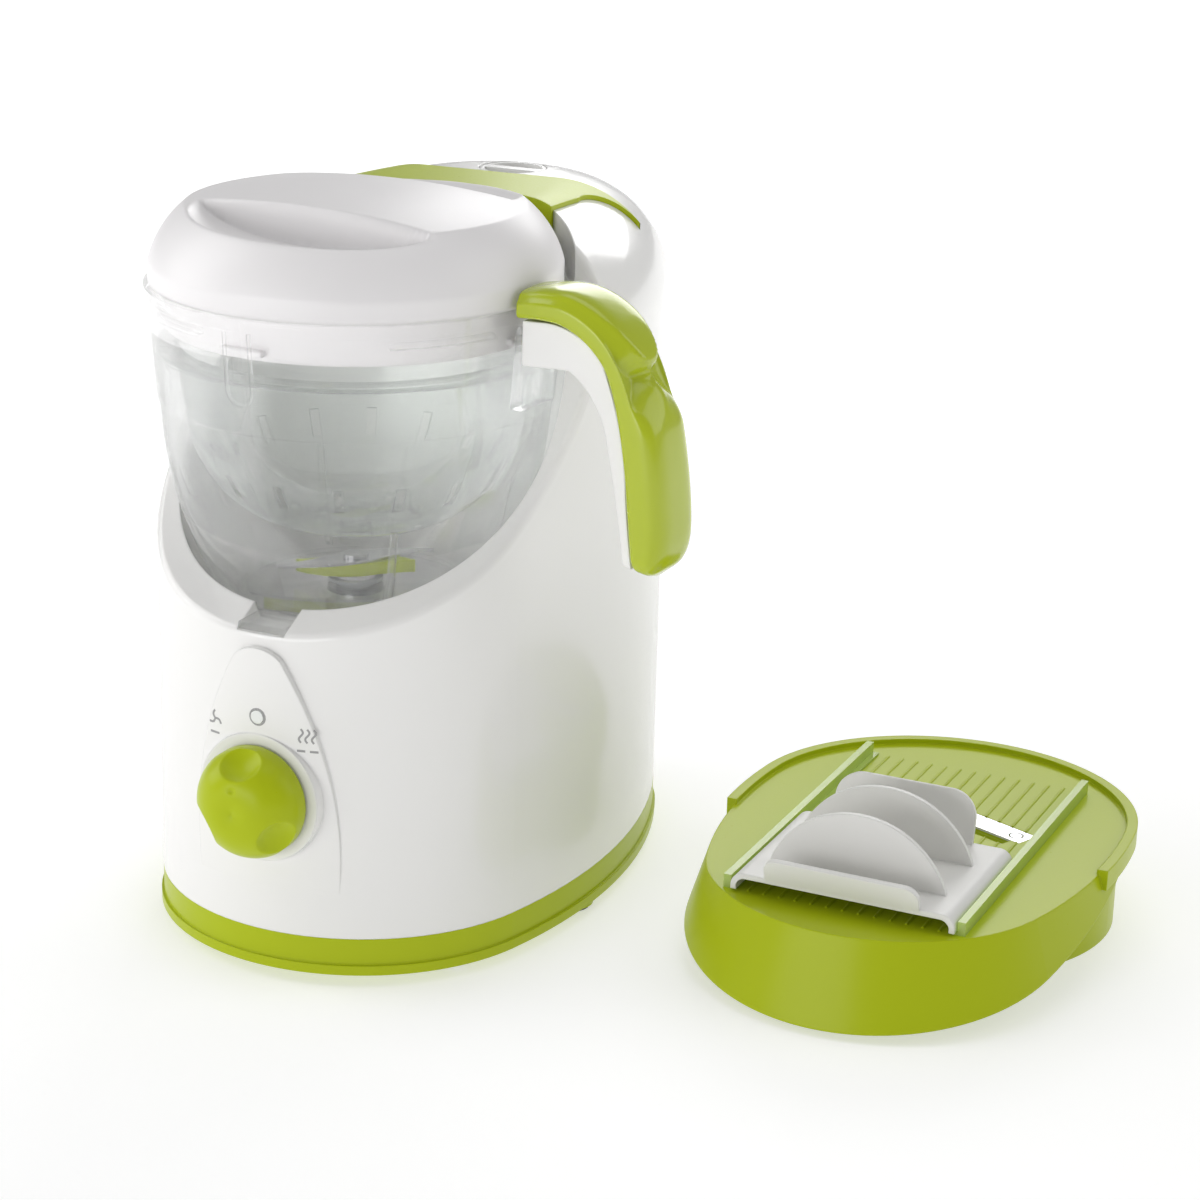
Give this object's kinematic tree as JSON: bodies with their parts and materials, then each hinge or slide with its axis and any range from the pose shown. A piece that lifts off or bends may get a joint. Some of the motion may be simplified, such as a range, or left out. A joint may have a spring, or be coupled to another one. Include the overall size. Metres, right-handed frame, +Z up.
{
  "type": "baby food maker",
  "caption": "Steam cooker and blender for baby food: oval housing with a scooped front, clear jug with handle, steaming basket, ridged lid, selector knob and a separate slicer top with pusher.",
  "frame": {"origin": "on the worktop plane, under the drive axis of the jug", "axes": "+Z up along the drive axis, -Y towards the selector knob at the front, +X to the side of the slicer top"},
  "size_m": [0.3755, 0.3044, 0.2987],
  "materials": {
    "white_shell": "glossy moulded white",
    "white_satin": "satin moulded white",
    "lime": "glossy lime green",
    "lime_clear": "translucent lime green",
    "clear": "clear, polished",
    "clear_basket": "clear, lightly frosted",
    "off_white": "matt off-white",
    "steel": "brushed",
    "laminated_steel": "bare laminations",
    "alloy": "die cast",
    "rubber_grey": "matt",
    "silicone": "translucent white",
    "dark_plastic": "matt black",
    "grey_plastic": "matt grey",
    "board_green": "lacquered board",
    "carbon": "bare carbon",
    "lens": "translucent grey"
  },
  "bodies": {
    "base": {"base_tray": "lime", "rubber_feet": "rubber_grey", "main_housing": "white_shell", "housing_screws": "steel", "top_cover": "lime", "cord_gland": "rubber_grey", "indicator_lens": "lens", "selector_switch": "dark_plastic", "circuit_board": "board_green", "interlock_switch": "dark_plastic", "steam_nozzle": "silicone", "steam_hose": "silicone", "boiler_tank": "alloy", "heating_ring": "steel", "thermostat": "steel", "motor_mounts": "rubber_grey", "lower_bracket": "alloy", "upper_bracket": "alloy", "motor_stator": "laminated_steel", "motor_bearings": "steel", "carbon_brushes": "carbon", "shaft_seal": "rubber_grey"},
    "rotor": {"motor_shaft": "steel", "motor_armature": "laminated_steel", "cooling_fan": "dark_plastic", "drive_coupling": "dark_plastic"},
    "dial": {"knob": "lime", "knob_shaft": "steel"},
    "filler_seal": {"boiler_cap_seal": "silicone"},
    "filler_cap": {"boiler_cap": "white_shell"},
    "jug_unit": {"jug": "clear", "handle_grip": "lime", "handle_shell": "white_shell", "handle_screws": "steel", "blade_bush": "grey_plastic", "blade_seal": "silicone"},
    "blade_unit": {"blade_shaft": "steel", "blade_hub": "lime", "steel_blades": "steel", "driven_coupling": "dark_plastic"},
    "basket_unit": {"basket": "clear_basket"},
    "lid_ring": {"lid_seal": "silicone"},
    "lid_unit": {"lid": "white_satin"},
    "slicer_top": {"slicer_body": "lime", "slicer_rails": "lime_clear", "slicing_blade": "steel", "blade_screws": "steel"},
    "slicer_pusher": {"pusher": "off_white"}
  },
  "joints": [
    {"name": "rotor_spin", "type": "hinge", "parent": "base", "child": "rotor", "pos_m": [0, 0, 0], "axis": [0, 0, 1], "continuous": true},
    {"name": "dial_turn", "type": "hinge", "parent": "base", "child": "dial", "pos_m": [0, -0.078, 0.076], "axis": [0, -1, 0], "range_deg": [-45, 45]},
    {"name": "filler_lift", "type": "slide", "parent": "base", "child": "filler_seal", "axis": [0, 0, 1], "range_m": [0, 0.06]},
    {"name": "filler_turn", "type": "hinge", "parent": "filler_seal", "child": "filler_cap", "pos_m": [0, 0.138, 0.28], "axis": [0, 0, 1], "range_deg": [0, 90]},
    {"name": "jug_lift", "type": "slide", "parent": "base", "child": "jug_unit", "axis": [0, 0, 1], "range_m": [0, 0.2]},
    {"name": "blade_spin", "type": "hinge", "parent": "jug_unit", "child": "blade_unit", "pos_m": [0, 0, 0.14], "axis": [0, 0, 1], "continuous": true},
    {"name": "basket_lift", "type": "slide", "parent": "jug_unit", "child": "basket_unit", "axis": [0, 0, 1], "range_m": [0, 0.16]},
    {"name": "lid_lift", "type": "slide", "parent": "basket_unit", "child": "lid_ring", "axis": [0, 0, 1], "range_m": [0, 0.12]},
    {"name": "lid_turn", "type": "hinge", "parent": "lid_ring", "child": "lid_unit", "pos_m": [0, 0, 0.264], "axis": [0, 0, 1], "range_deg": [-30, 0]},
    {"name": "slicer_lift", "type": "slide", "parent": "base", "child": "slicer_top", "axis": [0, 0, 1], "range_m": [0, 0.1]},
    {"name": "pusher_slide", "type": "slide", "parent": "slicer_top", "child": "slicer_pusher", "axis": [0, 1, 0], "range_m": [0, 0.085]}
  ],
  "couplings": [
    {"joint": "blade_spin", "follows": "rotor_spin", "ratio": 1}
  ]
}
